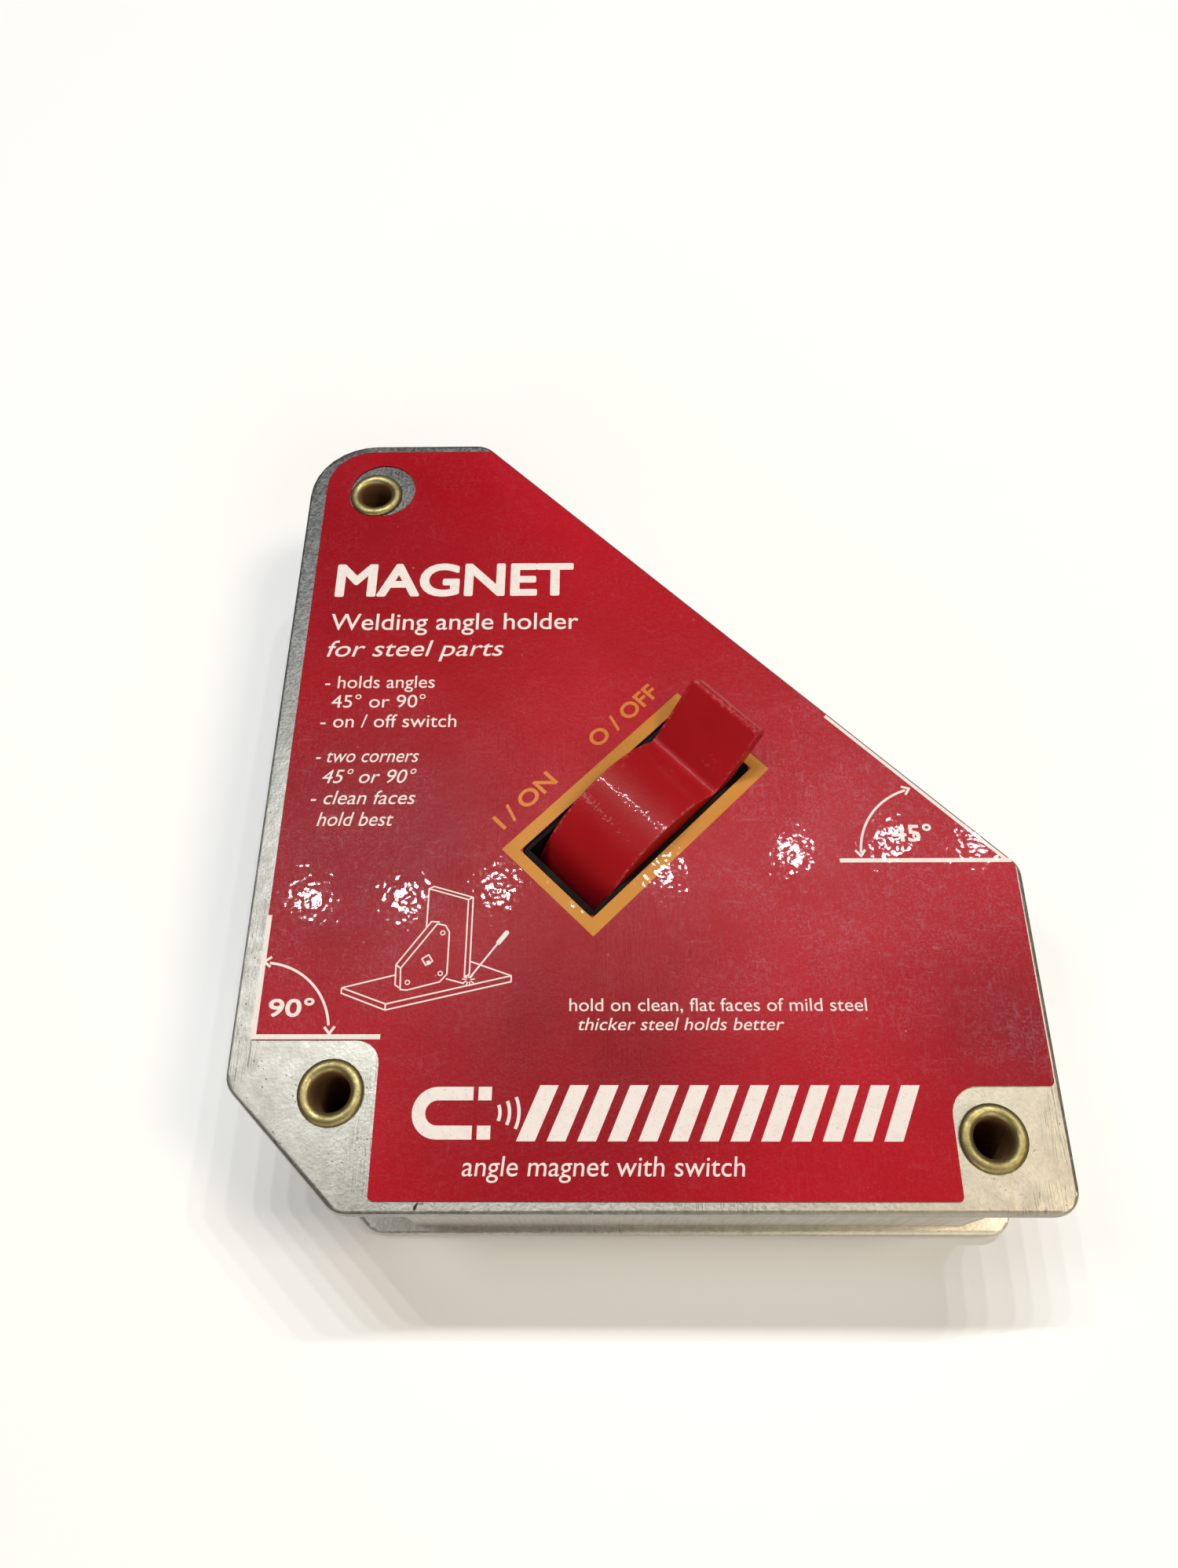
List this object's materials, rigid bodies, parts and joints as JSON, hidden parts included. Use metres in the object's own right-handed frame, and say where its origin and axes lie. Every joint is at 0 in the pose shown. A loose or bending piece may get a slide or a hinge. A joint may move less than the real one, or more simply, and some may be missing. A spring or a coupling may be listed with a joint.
{
  "type": "welding magnet holder",
  "caption": "Switchable magnetic welding square that holds steel at right angles and at half right angles, with a rocker lever that turns the magnet on and off.",
  "frame": {"origin": "bottom centre of the bounding box, with the holder lying flat on its rear eyelets and the switch face up", "axes": "+X to the right along the bottom edge, +Y up along the long straight edge, +Z out of the switch face"},
  "size_m": [0.1316, 0.152, 0.0453],
  "materials": {
    "galvanised_steel": "dull galvanised sheet with fine mottling",
    "printed_film": "glossy printed film with orange-peel surface",
    "brass_eyelet": "dull satin, rolled",
    "plain_steel": "machined",
    "spacer_aluminium": "extruded, streaky",
    "bronze_bush": "sintered bronze",
    "black_plastic": "moulded, matt",
    "red_plastic": "moulded, glossy, lightly scuffed",
    "stainless_steel": "drawn",
    "grey_plastic": "moulded",
    "nickel_magnet": "nickel plated"
  },
  "bodies": {
    "body": {"front_plate": "galvanised_steel", "rear_plate": "galvanised_steel", "front_label": "printed_film", "rear_label": "printed_film", "eyelet_top": "brass_eyelet", "eyelet_heel": "brass_eyelet", "eyelet_toe": "brass_eyelet", "distance_tube_top": "plain_steel", "distance_tube_heel": "plain_steel", "distance_tube_toe": "plain_steel", "spacer_bar_left": "spacer_aluminium", "spacer_bar_top": "spacer_aluminium", "spacer_bar_slant": "spacer_aluminium", "spacer_bar_right": "spacer_aluminium", "spacer_bar_bottom": "spacer_aluminium", "switch_well": "black_plastic", "stop_pin": "plain_steel", "pole_shoe_front_upper": "plain_steel", "pole_shoe_rear_upper": "plain_steel", "bearing_block_upper": "spacer_aluminium", "bearing_bush_upper": "bronze_bush", "pole_shoe_front_lower": "plain_steel", "pole_shoe_rear_lower": "plain_steel", "bearing_block_lower": "spacer_aluminium", "bearing_bush_lower": "bronze_bush"},
    "rotor": {"rocker_lever": "red_plastic", "rotor_shaft": "stainless_steel", "magnet_carrier_upper": "grey_plastic", "rotor_magnet_upper_north": "nickel_magnet", "rotor_magnet_upper_south": "nickel_magnet", "rotor_sleeve_upper": "stainless_steel", "retaining_ring_upper": "stainless_steel", "magnet_carrier_lower": "grey_plastic", "rotor_magnet_lower_north": "nickel_magnet", "rotor_magnet_lower_south": "nickel_magnet", "rotor_sleeve_lower": "stainless_steel", "retaining_ring_lower": "stainless_steel"}
  },
  "joints": [
    {"name": "rotor_turn", "type": "hinge", "parent": "body", "child": "rotor", "pos_m": [-0.00015, -0.00929, 0.0232], "axis": [0.7071, -0.7071, 0], "range_deg": [0, 90]}
  ]
}
